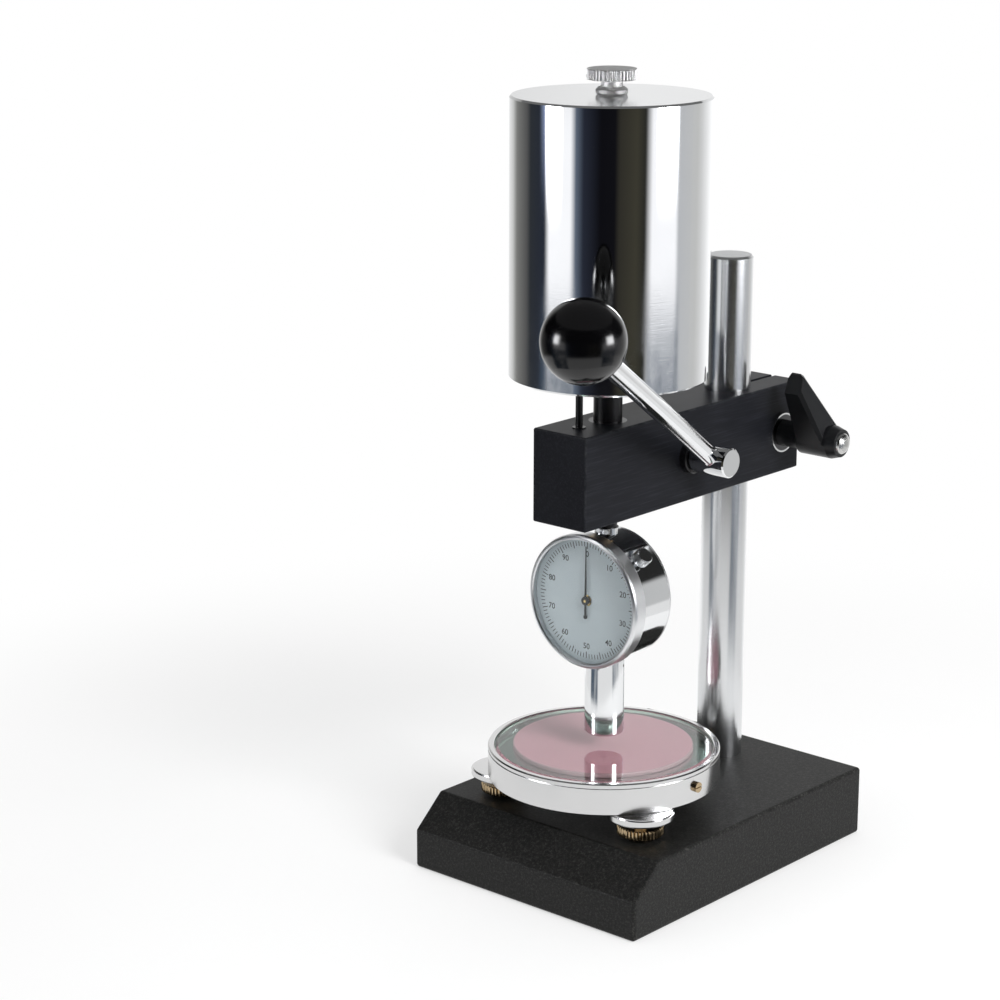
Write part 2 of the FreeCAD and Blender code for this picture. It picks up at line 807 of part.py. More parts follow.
def boss_places():
    places = []
    for i in range(4):
        a = math.radians(45 + 90 * i)
        places.append((boss_circle * math.cos(a), dial_z + boss_circle * math.sin(a)))
    return places


def back_cover():
    y0, y1 = case_y1, case_y1 + back_cover_t
    cover = dial_turned([(0, y0), (case_r, y0), (case_r, y1 - 1.0), (case_r - 1.2, y1), (0, y1 + cover_dome)])
    for x, z in boss_places():
        cover = cover.cut(rod_along_y(back_screw_d, y0 - 1, y1 + 2, x, z))
        cover = cover.cut(rod_along_y(back_head_d + 2 * run_fit, y1 - back_head_t + 0.2, y1 + 2, x, z))
    return cover


def back_screws():
    y1 = case_y1 + back_cover_t
    screws = []
    for x, z in boss_places():
        head = rod_along_y(back_head_d, y1 - back_head_t + 0.2, y1 + 0.3, x, z)
        shank = rod_along_y(back_screw_d, case_y1 - boss_depth + 1, y1 - back_head_t + 0.2, x, z)
        drive = box(x - back_head_d, x + back_head_d, y1 - 0.1, y1 + 1, z - 0.25, z + 0.25)
        screws.append(head.fuse(shank).cut(drive))
    return Part.makeCompound(screws)


def front_plate():
    r = case_bore_r + plate_step - run_fit
    plate = rod_along_y(2 * r, plate_y0, plate_y1, 0, dial_z)
    plate = plate.cut(rod_along_y(arbor_d + 2 * run_fit, plate_y0 - 1, plate_y1 + 1, 0, dial_z))
    return plate.cut(rod_along_y(arbor_d + 2 * run_fit, plate_y0 - 1, plate_y1 + 1, arbor_x, arbor_z))


def pillar_places():
    places = []
    for degrees in pillar_angles:
        a = math.radians(degrees)
        places.append((pillar_circle * math.cos(a), dial_z + pillar_circle * math.sin(a)))
    return places


def plate_pillars():
    return Part.makeCompound([rod_along_y(pillar_d, plate_y1, bridge_y0, x, z) for x, z in pillar_places()])


def bridge_plate():
    plate = rod_along_y(bridge_d, bridge_y0, bridge_y1, 0, dial_z)
    return plate.cut(rod_along_y(arbor_d + 2 * run_fit, bridge_y0 - 1, bridge_y1 + 1, arbor_x, arbor_z))


def centre_cock():
    reach = cock_span + cock_w / 2
    bar = box(-reach, reach, cock_y0, cock_y1, dial_z - cock_down, dial_z + cock_up + cock_w / 2)
    for x in (-cock_span, cock_span):
        bar = bar.fuse(rod_along_y(post_d, plate_y1, cock_y0, x, dial_z + cock_up))
    return bar.cut(rod_along_y(arbor_d + 2 * run_fit, plate_y1, cock_y1 + 1, 0, dial_z))


# Dial gauge: barrel, spindle and spring

def barrel_collar():
    """Ring that joins the barrel to the case, with holes round it for a pin spanner."""
    ring = bush(barrel_d, barrel_bore, collar_z, pad_z, rod_y)
    middle = (collar_z + pad_z) / 2
    for i in range(spanner_holes):
        degrees = spanner_start + 360.0 / spanner_holes * i
        bottom = at_angle(barrel_d / 2 - spanner_depth, degrees, middle)
        ring = ring.cut(rod_between(spanner_hole_d, bottom, at_angle(barrel_d, degrees, middle)))
    return ring


def foot_sleeve():
    r, e = barrel_d / 2, foot_round
    hole, bore = foot_hole_d / 2, barrel_bore / 2
    profile = [(hole, foot_z), (r - e, foot_z), (r, foot_z + e), (r, collar_z), (bore, collar_z),
               (bore, foot_z + foot_t), (hole, foot_z + foot_t)]
    return turned(profile, V(0, rod_y, 0), Z_AXIS)


def rack_gap(z):
    root = rack_line - rack_module
    tip = rack_line + 0.8 * rack_module
    open_half, close_half = rack_pitch / 2 * 0.78, rack_pitch / 2 * 0.42
    outline = [V(-tip - 1, -spindle_d, z - open_half - 0.15), V(-tip, -spindle_d, z - open_half),
               V(-root, -spindle_d, z - close_half), V(-root, -spindle_d, z + close_half),
               V(-tip, -spindle_d, z + open_half), V(-tip - 1, -spindle_d, z + open_half + 0.15)]
    return prism(outline, V(0, 2 * spindle_d, 0)).translated(V(0, rod_y, 0))


def spindle():
    r, flange = spindle_d / 2, spindle_flange_d / 2
    grip = spindle_z0 + indenter_grip
    profile = [(0, grip), (indenter_d / 2, grip), (indenter_d / 2, spindle_z0), (flange, spindle_z0),
               (flange, flange_top), (r, flange_top), (r, spindle_z1 - 0.5), (r - 0.5, spindle_z1),
               (0, spindle_z1)]
    shape = turned(profile, V(0, rod_y, 0), Z_AXIS)
    tip = rack_line + 0.8 * rack_module
    low = arbor_z - rack_pitch * (rack_teeth - 2)
    high = arbor_z + rack_pitch * 2
    shape = shape.cut(box(-spindle_d, -tip, rod_y - spindle_d, rod_y + spindle_d, low, high))
    for i in range(rack_teeth):
        shape = shape.cut(rack_gap(arbor_z + rack_pitch * (1 - i)))
    return shape


def indenter():
    r = indenter_d / 2
    cone = r / math.tan(math.radians(indenter_cone / 2))
    profile = [(0, indenter_z), (0.1, indenter_z), (r, indenter_z + cone), (r, spindle_z0 + indenter_grip),
               (0, spindle_z0 + indenter_grip)]
    return turned(profile, V(0, rod_y, 0), Z_AXIS)


def load_spring():
    coil_r = (spindle_d / 2 + barrel_bore / 2) / 2
    half = spring_wire / 2
    low = flange_top + half + spring_end_gap
    high = nose_z - half - spring_end_gap
    steps = spring_turns * spring_steps
    sections = []
    for i in range(steps + 1):
        a = 2 * math.pi * i / spring_steps
        out = V(math.cos(a), math.sin(a), 0)
        centre = V(0, rod_y, low + (high - low) * i / steps) + out * coil_r
        corners = [centre + out * half, centre + Z_AXIS * half, centre - out * half, centre - Z_AXIS * half]
        sections.append(Part.makePolygon(corners + corners[:1]))
    return upright(Part.makeLoft(sections, True, True))


# Dial gauge: bezel, dial and train

def bezel():
    r, skirt, lip = bezel_d / 2, case_r + run_fit, bezel_d / 2 - bezel_lip_w
    y0, y1 = bezel_y0, bezel_y1
    return dial_turned([(lip, y0 + 0.4), (lip + 0.5, y0), (r - 1.3, y0), (r - 0.4, y0 + 0.5), (r, y0 + 1.4),
                        (r, y1 - 0.6), (r - 0.4, y1), (skirt, y1), (skirt, crystal_y0), (lip, crystal_y0)])


def crystal():
    return rod_along_y(2 * case_r, crystal_y0, crystal_y1, 0, dial_z)


def dial_plate():
    disc = rod_along_y(2 * case_r, dial_y0, dial_y1, 0, dial_z)
    return disc.cut(rod_along_y(dial_hole, dial_y0 - 1, dial_y1 + 1, 0, dial_z))


def pointer():
    y0 = (crystal_y1 + dial_y0 - pointer_t) / 2
    root, tip = pointer_root_w / 2, pointer_tip_w / 2
    blade = prism([V(-root, y0, dial_z - pointer_tail), V(root, y0, dial_z - pointer_tail),
                   V(root, y0, dial_z), V(tip, y0, dial_z + pointer_len), V(-tip, y0, dial_z + pointer_len),
                   V(-root, y0, dial_z)], V(0, pointer_t, 0))
    bob = rod_along_y(tail_bob_d, y0, y0 + pointer_t, 0, dial_z - pointer_tail)
    hub = rod_along_y(pointer_hub_d, y0 - 0.35, y0 + 0.6, 0, dial_z)
    return blade.fuse(bob).fuse(hub).cut(rod_along_y(arbor_d, y0 - 1, y0 + 2, 0, dial_z))


def mesh_angle():
    return math.atan2(dial_z - arbor_z, -arbor_x)


def centre_arbor():
    y0 = (crystal_y1 + dial_y0 - pointer_t) / 2 - 0.35
    shaft = rod_along_y(arbor_d, y0, cock_y1, 0, dial_z)
    first = mesh_angle() + math.pi + math.pi / pinion_teeth
    start = V(0, wheel_y0 - 0.3, dial_z)
    return shaft.fuse(toothed(gear_module, pinion_teeth, pinion_t, start, Y_AXIS, first))


def transfer_arbor():
    shaft = rod_along_y(arbor_d, plate_y0, bridge_y1, arbor_x, arbor_z)
    wheel = toothed(gear_module, wheel_teeth, gear_t, V(arbor_x, wheel_y0, arbor_z), Y_AXIS, mesh_angle())
    start = V(arbor_x, rod_y - rack_pinion_t / 2, arbor_z)
    small = toothed(rack_module, rack_pinion_teeth, rack_pinion_t, start, Y_AXIS, 0.0)
    return shaft.fuse(wheel).fuse(small)


def knob_direction():
    a = math.radians(knob_angle)
    return V(math.cos(a), 0, math.sin(a))


def knob_point(radius):
    y = bezel_y1 + knob_d / 2 + side_gap
    return V(0, y, dial_z) + knob_direction() * radius


def lock_knob():
    base_r = case_r + knob_reach - 1.6
    head = ribbed(knob_d, rib_depth, knob_ribs, knob_len, knob_point(base_r), knob_direction())
    return head.fuse(rod_between(knob_shank_d, knob_point(case_bore_r), knob_point(base_r + 1)))


# Specimen table

def table_ring():
    r, wall, e = ring_d / 2, ring_d / 2 - ring_wall, 0.5
    lip_z = ring_z1 - lip_h
    groove_z = lip_z - groove_h
    neck = r - groove_depth
    profile = [(0, ring_z0), (r - e, ring_z0), (r, ring_z0 + e), (r, groove_z), (neck, groove_z),
               (neck, lip_z), (r, lip_z), (r, ring_z1 - e), (r - e, ring_z1), (wall + 0.3, ring_z1),
               (wall, ring_z1 - 0.3), (wall, floor_z), (0, floor_z)]
    ring = turned(profile, V(0, rod_y, 0), Z_AXIS)
    for centre in lug_centres(0.0):
        ring = ring.fuse(lug(centre))
    for centre in lug_centres(lug_z - 1):
        hole = Part.makeCylinder(level_shank_d / 2 + run_fit, level_bore_top() - lug_z + 1, centre, Z_AXIS)
        ring = ring.cut(hole)
    for degrees in set_screw_angles():
        ring = ring.cut(set_screw(degrees, 1.0))
    return ring


def lug(centre):
    """Round foot under the ring: rounded below, with a groove where it meets the ring."""
    r, e = lug_d / 2, lug_round
    groove_z = ring_z0 - lug_groove_h
    neck = r - lug_groove_depth
    corner = [(r - e + e * math.sin(math.radians(a)), lug_z + e - e * math.cos(math.radians(a)))
              for a in (0, 30, 60, 90)]
    profile = [(0, lug_z)] + corner + [(r, groove_z), (neck, groove_z), (neck, ring_z0), (0, ring_z0)]
    return turned(profile, centre, Z_AXIS)


def lug_centres(z):
    return [at_angle(lug_circle, lug_start + 360.0 / lug_count * i, z) for i in range(lug_count)]


def level_bore_top():
    return level_top + level_shank_len + level_room


def set_screw_angles():
    return [360.0 / set_screw_count * i for i in range(set_screw_count)]


def set_screw(degrees, extra=0.0):
    z = ring_z0 + set_screw_z
    inner, outer = ring_d / 2 - ring_wall, ring_d / 2 + set_screw_out
    return rod_between(set_screw_d, at_angle(inner - extra, degrees, z), at_angle(outer + extra, degrees, z))


def set_screws():
    """Slotted screws that hold the glass in the ring."""
    screws = []
    z = ring_z0 + set_screw_z
    end = ring_d / 2 + set_screw_out
    for degrees in set_screw_angles():
        outer = at_angle(end, degrees, z)
        inward = at_angle(end - set_screw_slot_depth, degrees, z)
        run = outer - inward
        across = Z_AXIS.cross(run).normalize() * set_screw_d
        rise = Z_AXIS * (set_screw_slot_w / 2)
        floor = [inward - across - rise, inward + across - rise,
                 inward + across + rise, inward - across + rise]
        screws.append(set_screw(degrees).cut(prism(floor, run * 2)))
    return Part.makeCompound(screws)


def table_glass():
    bevel_z = glass_z1 - glass_bevel * 0.6
    profile = [(0, glass_z0), (glass_r, glass_z0), (glass_r, bevel_z), (glass_r - glass_bevel, glass_z1),
               (0, glass_z1)]
    return turned(profile, V(0, rod_y, 0), Z_AXIS)


def table_pad():
    """Loose disc on the ring's floor, pushed to one side of it."""
    turn = math.radians(pad_shift_angle)
    return rod_z(pad_d, floor_z, glass_z0, pad_shift * math.cos(turn), rod_y + pad_shift * math.sin(turn))


def level_screw(index):
    centre = lug_centres(0.0)[index]
    foot_r, shank_r = level_foot_d / 2, level_shank_d / 2
    post = turned([(0, base_top), (foot_r, base_top), (foot_r, level_disc_z), (shank_r, level_disc_z),
                   (shank_r, level_top + level_shank_len - 0.6), (shank_r - 0.6, level_top + level_shank_len),
                   (0, level_top + level_shank_len)], centre, Z_AXIS)
    place = V(centre.x, centre.y, level_disc_z)
    return post.fuse(ribbed(level_disc_d, rib_depth, level_ribs, level_disc_t, place, Z_AXIS))


def main():
    os.makedirs("parts", exist_ok=True)
    makers = [base_block, column, column_washer, column_nut, arm_block, slot_cover, cover_screws,
              upper_bush, lower_bush, pin_bush, clamp_washer, clamp_screw, clamp_handle, clamp_cap,
              load_rod, weight, guide_pin, weight_nut, lever_shaft, shaft_clip, lever_hub, lever_rod,
              ball_knob, rocker, rocker_pin,
              gauge_stem, gauge_case, back_cover, back_screws, front_plate, plate_pillars, bridge_plate,
              centre_cock, barrel_collar, foot_sleeve, spindle, indenter, load_spring, bezel, crystal,
              dial_plate, pointer, centre_arbor, transfer_arbor, lock_knob, table_ring, set_screws,
              table_glass, table_pad]
    for maker in makers:
        save(maker.__name__, maker())
    save("shaft_bush_right", shaft_bush(1))
    save("shaft_bush_left", shaft_bush(-1))
    for index in range(lug_count):
        save("level_screw_%d" % (index + 1), level_screw(index))


main()
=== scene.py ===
"""Looks for the bench hardness tester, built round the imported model. Metres, +Z up."""
import math
import bpy
from mathutils import Matrix, Vector


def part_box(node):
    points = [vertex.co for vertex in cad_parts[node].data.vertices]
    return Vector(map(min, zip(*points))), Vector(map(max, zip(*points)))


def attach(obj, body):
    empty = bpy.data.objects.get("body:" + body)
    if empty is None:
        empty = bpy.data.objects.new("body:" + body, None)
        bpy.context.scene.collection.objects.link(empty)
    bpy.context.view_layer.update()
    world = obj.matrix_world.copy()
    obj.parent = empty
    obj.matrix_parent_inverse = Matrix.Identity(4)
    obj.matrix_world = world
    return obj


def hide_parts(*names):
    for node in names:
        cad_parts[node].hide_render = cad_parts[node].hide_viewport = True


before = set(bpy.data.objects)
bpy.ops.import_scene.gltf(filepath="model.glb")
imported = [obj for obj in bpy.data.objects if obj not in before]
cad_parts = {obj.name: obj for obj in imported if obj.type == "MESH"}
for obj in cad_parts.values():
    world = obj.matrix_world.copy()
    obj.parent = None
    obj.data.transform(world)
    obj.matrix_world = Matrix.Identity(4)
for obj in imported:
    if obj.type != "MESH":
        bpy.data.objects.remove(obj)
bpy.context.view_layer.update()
MM = 0.001


class Value:
    """A node's output. Sums on it add Math nodes to the same recipe."""

    def __init__(self, recipe, socket):
        self.recipe = recipe
        self.socket = socket

    def sum(self, operation, *others):
        return self.recipe.node("Math", {"operation": operation}, dict(enumerate([self, *others])))

    def __add__(self, other):
        return self.sum("ADD", other)

    __radd__ = __add__

    def __sub__(self, other):
        return self.sum("SUBTRACT", other)

    def __rsub__(self, other):
        return self.recipe.node("Math", {"operation": "SUBTRACT"}, {0: other, 1: self})

    def __mul__(self, other):
        return self.sum("MULTIPLY", other)

    __rmul__ = __mul__

    def __truediv__(self, other):
        return self.sum("DIVIDE", other)

    def power(self, other):
        return self.sum("POWER", other)

    def size(self):
        return self.sum("ABSOLUTE")

    def rise(self, start, end):
        """0 at the start and 1 at the end, level past them, smooth between. The start may be the larger."""
        inputs = {"Value": self, "From Min": start, "From Max": end}
        return self.recipe.node("MapRange", {"interpolation_type": "SMOOTHSTEP"}, inputs, "Result")

    def band(self, middle, half_width, soft):
        """1 round the middle and 0 past the half width. The soft share of it is where the value falls."""
        return (1 - ((self - middle) / half_width).size()).rise(0, soft)


class Recipe:
    """One finish: its material and the nodes that make its pattern."""

    def __init__(self, name):
        self.material = bpy.data.materials.new(name)
        self.material.use_nodes = True
        self.tree = self.material.node_tree
        self.shader = self.tree.nodes["Principled BSDF"]
        self.coordinates = self.node("TexCoord", outputs="Object")

    def node(self, kind, settings=None, inputs=None, outputs=0):
        made = self.tree.nodes.new("ShaderNode" + kind)
        for key, value in (settings or {}).items():
            if key == "stops":
                ramp = made.color_ramp
                while len(ramp.elements) < len(value):
                    ramp.elements.new(0.5)
                for element, (place, colour) in zip(ramp.elements, value):
                    element.position = place
                    element.color = (*colour, 1)
            else:
                setattr(made, key, value)
        for key, value in (inputs or {}).items():
            self.feed(made.inputs[key], value)
        return Value(self, made.outputs[outputs])

    def feed(self, socket, value):
        if isinstance(value, Value):
            self.tree.links.new(value.socket, socket)
        elif hasattr(value, "__len__") and len(value) == 3 and len(socket.default_value) == 4:
            socket.default_value = (*value, 1)
        else:
            socket.default_value = value

    def set(self, **values):
        """Feeds the shader's own sockets, which are named with _ for a space."""
        for key, value in values.items():
            self.feed(self.shader.inputs[key.replace("_", " ")], value)

    def surface(self, shader):
        """The material shows this shader in place of the plain one."""
        self.feed(self.tree.nodes["Material Output"].inputs["Surface"], shader)

    def stretched(self, x, y, z):
        return self.node("Mapping", {}, {"Vector": self.coordinates, "Scale": (x, y, z)})

    def noise(self, scale, detail=3.0, rough=0.5, place=None):
        inputs = {"Vector": place or self.coordinates, "Scale": scale, "Detail": detail, "Roughness": rough}
        return self.node("TexNoise", {}, inputs, "Fac")

    def cells(self, scale):
        return self.node("TexVoronoi", {}, {"Vector": self.coordinates, "Scale": scale}, "Distance")

    def ramp(self, value, *stops):
        return self.node("ValToRGB", {"stops": stops}, {"Fac": value}, "Color")

    def blend(self, share, first, second):
        return self.node("Mix", {"data_type": "RGBA"}, {0: share, 6: first, 7: second}, 2)

    def relief(self, height, strength, distance):
        inputs = {"Height": height, "Strength": strength, "Distance": distance}
        return self.node("Bump", {}, inputs, "Normal")

    def axis(self, index):
        return self.node("SeparateXYZ", {}, {0: self.coordinates}, index)

    def reach(self, first, second, centre=(0, 0, 0)):
        """Distance from the centre, in the plane of these two axes."""
        squares = [(self.axis(i) - centre[i]).power(2) for i in (first, second)]
        return (squares[0] + squares[1]).power(0.5)

    def edge_wear(self, low, high, width):
        """1 along the edges of a block with these corners, 0 on its faces."""
        near = []
        for i in range(3):
            middle, half = (low[i] + high[i]) / 2, (high[i] - low[i]) / 2
            near.append((self.axis(i) - middle).size().rise(half - width, half))
        return (near[0] * near[1] + near[1] * near[2] + near[0] * near[2]).sum("MINIMUM", 1.0)

    def end_face(self, top):
        """1 on the flat end at this height, 0 on the side below it."""
        return self.axis(2).rise(top - 0.4 * MM, top - 0.1 * MM)


def srgb(*levels):
    """A colour as it looks on the screen, 0 to 255, as the shader wants it."""
    shares = [level / 255 for level in levels]
    return tuple(v / 12.92 if v <= 0.04045 else ((v + 0.055) / 1.055) ** 2.4 for v in shares)


def shade(colour, factor):
    return tuple(c * factor for c in colour)


# Finishes

def black_granite(low, high):
    """Honed black stone: a close mottle of dark grains, a few dull glints and lightly bruised edges."""
    r = Recipe("black_granite")
    grain = r.noise(2400, 3.0, 0.75)
    clump = r.noise(900, 4.0, 0.7)
    cloud = r.noise(70, 4.0, 0.6)
    mottle = grain * 0.5 + clump * 0.5
    pits = r.cells(900).rise(0.36, 0.1) * r.noise(300, 3.0, 0.6).rise(0.4, 0.7)
    chips = r.edge_wear(low, high, 1.6 * MM) * r.noise(520, 4.0, 0.75).rise(0.5, 0.72)
    tint = r.blend(cloud, srgb(9, 9, 9), srgb(16, 16, 15))
    tint = r.blend(mottle.rise(0.46, 0.66), tint, srgb(54, 54, 52))
    tint = r.blend(pits * 0.7, tint, srgb(12, 12, 13))
    tint = r.blend(chips * 0.55, tint, srgb(104, 103, 100))
    r.set(Base_Color=tint, Roughness=0.46 + grain * 0.16, Specular_IOR_Level=0.24)
    r.set(Normal=r.relief(mottle - pits * 0.7 - chips, 0.4, 0.2 * MM))
    return r.material


def steel(name, colour, roughness, line_scale, line_depth, along="z", end=None):
    """Bright metal. Tool lines run round the axis and a smear varies its shine. A sawn end face is duller."""
    r = Recipe(name)
    smear = 0.05
    stretch = (1, line_scale, 1) if along == "y" else (1, 1, line_scale)
    lines = r.noise(60, 3.0, 0.7, r.stretched(*stretch))
    smudge = r.noise(45, 4.0, 0.6)
    shine = roughness + (lines - 0.5) * smear + (smudge - 0.5) * smear
    if end:
        shine = shine + r.end_face(end) * 0.2
    r.set(Metallic=1.0, Base_Color=r.blend(smudge, shade(colour, 0.93), colour), Roughness=shine)
    r.set(Normal=r.relief(lines, line_depth, 0.04 * MM))
    return r.material


def turned_washer(low, high):
    """Washer across X. Its face is painted dark as a painted reflection of the dark handle beside it, and its
    turned rim keeps the bright plated colour.
    """
    r = Recipe("clamp_washer")
    radius = (high.z - low.z) / 2
    rings = r.noise(700, 3.0, 0.6)
    rim = r.reach(1, 2, (low + high) / 2).rise(radius - 0.9 * MM, radius - 0.5 * MM)
    # Painted reflection: the flat face is coloured dark for the dark handle it mirrors, while the rim stays
    # plain bright plating.
    face = r.blend(rings, (0.08, 0.08, 0.084), (0.13, 0.13, 0.136))
    r.set(Metallic=1.0, Base_Color=r.blend(rim, face, (0.88, 0.89, 0.90)), Roughness=0.16 + rings * 0.1)
    r.set(Normal=r.relief(rings, 0.05, 0.04 * MM))
    return r.material


def mirror_plating(low, high):
    """Polished plating, duller on the weight's top. The lathe's rings show faintly, more near its foot."""
    r = Recipe("mirror_chrome")
    rings = r.noise(90, 4.0, 0.75, r.stretched(1, 1, 26))
    swell = r.noise(11, 2.0, 0.5, r.stretched(1, 1, 1.6))
    smudge = r.noise(50, 4.0, 0.6)
    foot = r.axis(2).rise(low.z + 69 * MM, low.z + 9 * MM)
    scuffed = foot * r.noise(28, 3.0, 0.6).rise(0.42, 0.62)
    top = r.end_face(high.z) * (0.09 + smudge * 0.06)
    r.set(Metallic=1.0, Base_Color=r.blend(smudge, (0.82, 0.83, 0.84), (0.88, 0.89, 0.90)))
    r.set(Roughness=0.035 + smudge * 0.03 + scuffed * 0.07 + top)
    r.set(Normal=r.relief(rings * (0.05 + scuffed * 0.9) + swell * 1.6, 0.28, 0.1 * MM))
    return r.material


def satin_paint(name, colour, roughness, bump, scale, shine_level, block=None):
    """Dark satin surface with a fine tooth. A block is brushed along Y and rubbed at its edges."""
    r = Recipe(name)
    tooth = r.noise(scale, 3.0, 0.6, r.stretched(1, 0.03 if block else 1, 1))
    haze = r.noise(35, 4.0, 0.6)
    tint = r.blend(haze, shade(colour, 0.8), shade(colour, 1.15))
    shine = roughness + (haze - 0.5) * 0.12 + (tooth - 0.5) * 0.08
    if block:
        rub = r.edge_wear(*block, 1.1 * MM) * r.noise(300, 4.0, 0.7).rise(0.35, 0.75)
        tint = r.blend(tooth.rise(0.45, 0.75), tint, shade(colour, 1.8))
        tint = r.blend(rub * 0.55, tint, srgb(70, 71, 73))
        shine = shine - rub * 0.12
    r.set(Base_Color=tint, Roughness=shine, Specular_IOR_Level=shine_level)
    r.set(Normal=r.relief(tooth, bump, 0.06 * MM))
    return r.material


def dial_paper():
    """Printed dial: a pale cool face with the faintest mottling."""
    r = Recipe("dial_face")
    mottle = r.noise(240, 4.0, 0.6)
    r.set(Base_Color=r.blend(mottle, srgb(208, 219, 226), srgb(220, 229, 235)))
    r.set(Roughness=0.42 + mottle * 0.08, Normal=r.relief(mottle, 0.03, 0.02 * MM))
    return r.material


def printed_ink():
    """Black ink of the dial, and the pointer's paint."""
    r = Recipe("dial_ink")
    coat = r.noise(900, 2.0, 0.5)
    r.set(Base_Color=r.blend(coat, srgb(18, 19, 22), srgb(34, 35, 38)), Roughness=0.45 + coat * 0.1)
    return r.material


def window_glass(name, tint, disc=None):
    """Clear glass that lets the lamps through. A disc, given by its corners, has a dull ground edge."""
    r = Recipe(name)
    dust = r.noise(130, 4.0, 0.65)
    r.set(Base_Color=tint, Roughness=0.01 + dust * 0.02, Transmission_Weight=1.0, IOR=1.46)
    r.set(Normal=r.relief(dust, 0.006, 0.02 * MM))
    glass = Value(r, r.shader.outputs[0])
    if disc:
        low, high = disc
        radius = (high.x - low.x) / 2
        edge = r.reach(0, 1, (low + high) / 2).rise(radius - 0.4 * MM, radius - 0.2 * MM)
        frosted = r.node("BsdfDiffuse", {}, {"Color": srgb(169, 183, 176), "Roughness": 0.5})
        glass = r.node("MixShader", {}, {0: edge, 1: glass, 2: frosted})
    clear = r.node("BsdfTransparent", {}, {"Color": tint})
    shadow = r.node("LightPath", outputs="Is Shadow Ray")
    r.surface(r.node("MixShader", {}, {0: shadow, 1: glass, 2: clear}))
    return r.material


def pad_rubber():
    """Deep rose sheet rubber, which the glass above it veils to pink."""
    r = Recipe("pad_rubber")
    fleck = r.noise(1400, 2.0, 0.7)
    cloud = r.noise(38, 4.0, 0.6)
    tint = r.blend(cloud, srgb(182, 126, 140), srgb(194, 138, 152))
    tint = r.blend(fleck.rise(0.5, 0.75) * 0.35, tint, srgb(160, 106, 120))
    r.set(Base_Color=tint, Roughness=0.68 + fleck * 0.12, Normal=r.relief(fleck, 0.25, 0.1 * MM))
    return r.material


bezel_tone = (0.80, 0.81, 0.82)
finishes = {
    "granite": black_granite(*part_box("base_block")),
    "ground_steel": steel("ground_steel", (0.76, 0.77, 0.78), 0.21, 14, 0.06, end=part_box("column")[1].z),
    "mirror_chrome": mirror_plating(*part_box("weight")),
    "black_anodised": satin_paint("black_anodised", srgb(25, 26, 30), 0.40, 0.10, 1500, 0.07,
                                  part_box("arm_block")),
    "steel": steel("bright_steel", (0.62, 0.62, 0.61), 0.24, 10, 0.05),
    "black_steel": satin_paint("black_steel", srgb(16, 16, 18), 0.30, 0.05, 900, 0.35),
    "bronze": steel("bronze", (0.58, 0.42, 0.24), 0.3, 10, 0.05),
    "black_ball": satin_paint("black_ball", srgb(5, 5, 6), 0.14, 0.008, 300, 0.5),
    "black_plastic": satin_paint("black_plastic", srgb(15, 16, 18), 0.34, 0.14, 1300, 0.4),
    "satin_bezel": steel("satin_bezel", bezel_tone, 0.30, 10, 0.08, "y"),
    "gauge_chrome": steel("gauge_chrome", (0.86, 0.87, 0.88), 0.08, 10, 0.02),
    "dial_white": dial_paper(),
    "pointer_black": printed_ink(),
    "clear_glass": window_glass("clear_glass", (0.97, 0.985, 0.98)),
    "movement_brass": steel("movement_brass", (0.72, 0.55, 0.26), 0.27, 8, 0.05, "y"),
    "spring_steel": steel("spring_steel", (0.45, 0.46, 0.48), 0.3, 6, 0.03),
    "satin_aluminium": steel("satin_aluminium", (0.68, 0.68, 0.68), 0.20, 6, 0.015),
    "pink_pad": pad_rubber(),
    "screw_brass": steel("screw_brass", (0.47, 0.36, 0.22), 0.13, 9, 0.04),
}


def dress_nodes():
    """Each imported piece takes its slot's finish, apart from a few with a finish of their own."""
    own = {
        "table_glass": window_glass("table_glass", (0.80, 0.92, 0.87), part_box("table_glass")),
        "weight_nut": steel("nut_satin", (0.92, 0.92, 0.92), 0.6, 12, 0.05),
        "clamp_washer": turned_washer(*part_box("clamp_washer")),
        "load_rod": finishes["black_steel"],
        "back_cover": steel("cover_satin", bezel_tone, 0.30, 10, 0.05, "y"),
    }
    for name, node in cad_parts.items():
        slot = node.data.materials[0].name
        node.data.materials[0] = own.get(name) or finishes[slot]


# Pieces modelled by hand

def settle(name, finish, body, slot, *replaced):
    """The active object becomes a finished piece: named, in place, with its finish, on its body."""
    piece = bpy.context.active_object
    bpy.ops.object.transform_apply(location=True, rotation=True, scale=True)
    piece.name = piece.data.name = name
    piece.data.materials.clear()
    piece.data.materials.append(finish)
    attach(piece, body)
    if replaced:
        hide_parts(*replaced)


def clear_selection():
    bpy.ops.object.select_all(action="DESELECT")


dial_low, dial_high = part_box("dial_plate")
dial_centre = Vector((0, dial_low.y, (dial_low.z + dial_high.z) / 2))
print_height = 0.05 * MM
tick_count, tick_circle = 100, 25.2 * MM
long_tick, short_tick = (2.9 * MM, 0.34 * MM), (2.0 * MM, 0.28 * MM)
numeral_circle, numeral_height, numeral_swell = 20.0 * MM, 3.5 * MM, 0.03 * MM


def way_out(degrees):
    """From the dial's centre to its edge, at this angle from the top."""
    angle = math.radians(degrees)
    return Vector((math.sin(angle), 0, math.cos(angle)))


def printed_line(length, width):
    """One raised line of print, flat on the ground with its length along Y."""
    clear_selection()
    bpy.ops.mesh.primitive_plane_add(size=1)
    bpy.ops.object.mode_set(mode="EDIT")
    bpy.ops.mesh.select_all(action="SELECT")
    bpy.ops.transform.resize(value=(width, length, 1))
    bpy.ops.mesh.extrude_region_move(TRANSFORM_OT_translate={"value": (0, 0, print_height)})
    bpy.ops.object.mode_set(mode="OBJECT")
    return bpy.context.active_object


